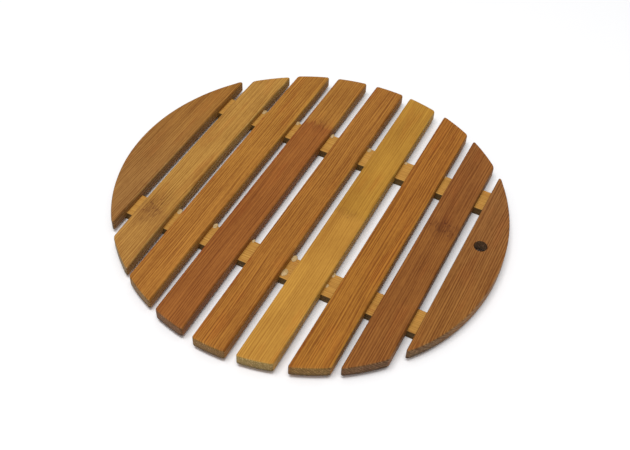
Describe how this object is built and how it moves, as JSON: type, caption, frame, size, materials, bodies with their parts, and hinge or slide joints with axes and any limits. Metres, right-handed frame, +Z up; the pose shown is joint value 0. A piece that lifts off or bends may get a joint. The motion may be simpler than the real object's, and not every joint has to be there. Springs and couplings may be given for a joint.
{
  "type": "bamboo trivet",
  "caption": "Round flat trivet of parallel bamboo slats glued across two battens, with a hanging hole near its rim, to stand hot pots and dishes on.",
  "frame": {"origin": "centre of the disc, on the surface that the trivet stands on", "axes": "+Z up out of the slats' top faces, +Y along the slats, +X along the battens towards the slat with the hanging hole"},
  "size_m": [0.1787, 0.1785, 0.0074],
  "materials": {
    "slat_pale": "satin",
    "slat_golden": "satin",
    "slat_orange": "satin",
    "slat_brown": "satin",
    "slat_dark": "satin",
    "batten": "satin"
  },
  "bodies": {
    "root": {"slat_1": "slat_brown", "slat_2": "slat_golden", "slat_3": "slat_orange", "slat_4": "slat_dark", "slat_5": "slat_orange", "slat_6": "slat_pale", "slat_7": "slat_orange", "slat_8": "slat_dark", "slat_9": "slat_brown", "batten_far": "batten", "batten_near": "batten"}
  },
  "joints": []
}
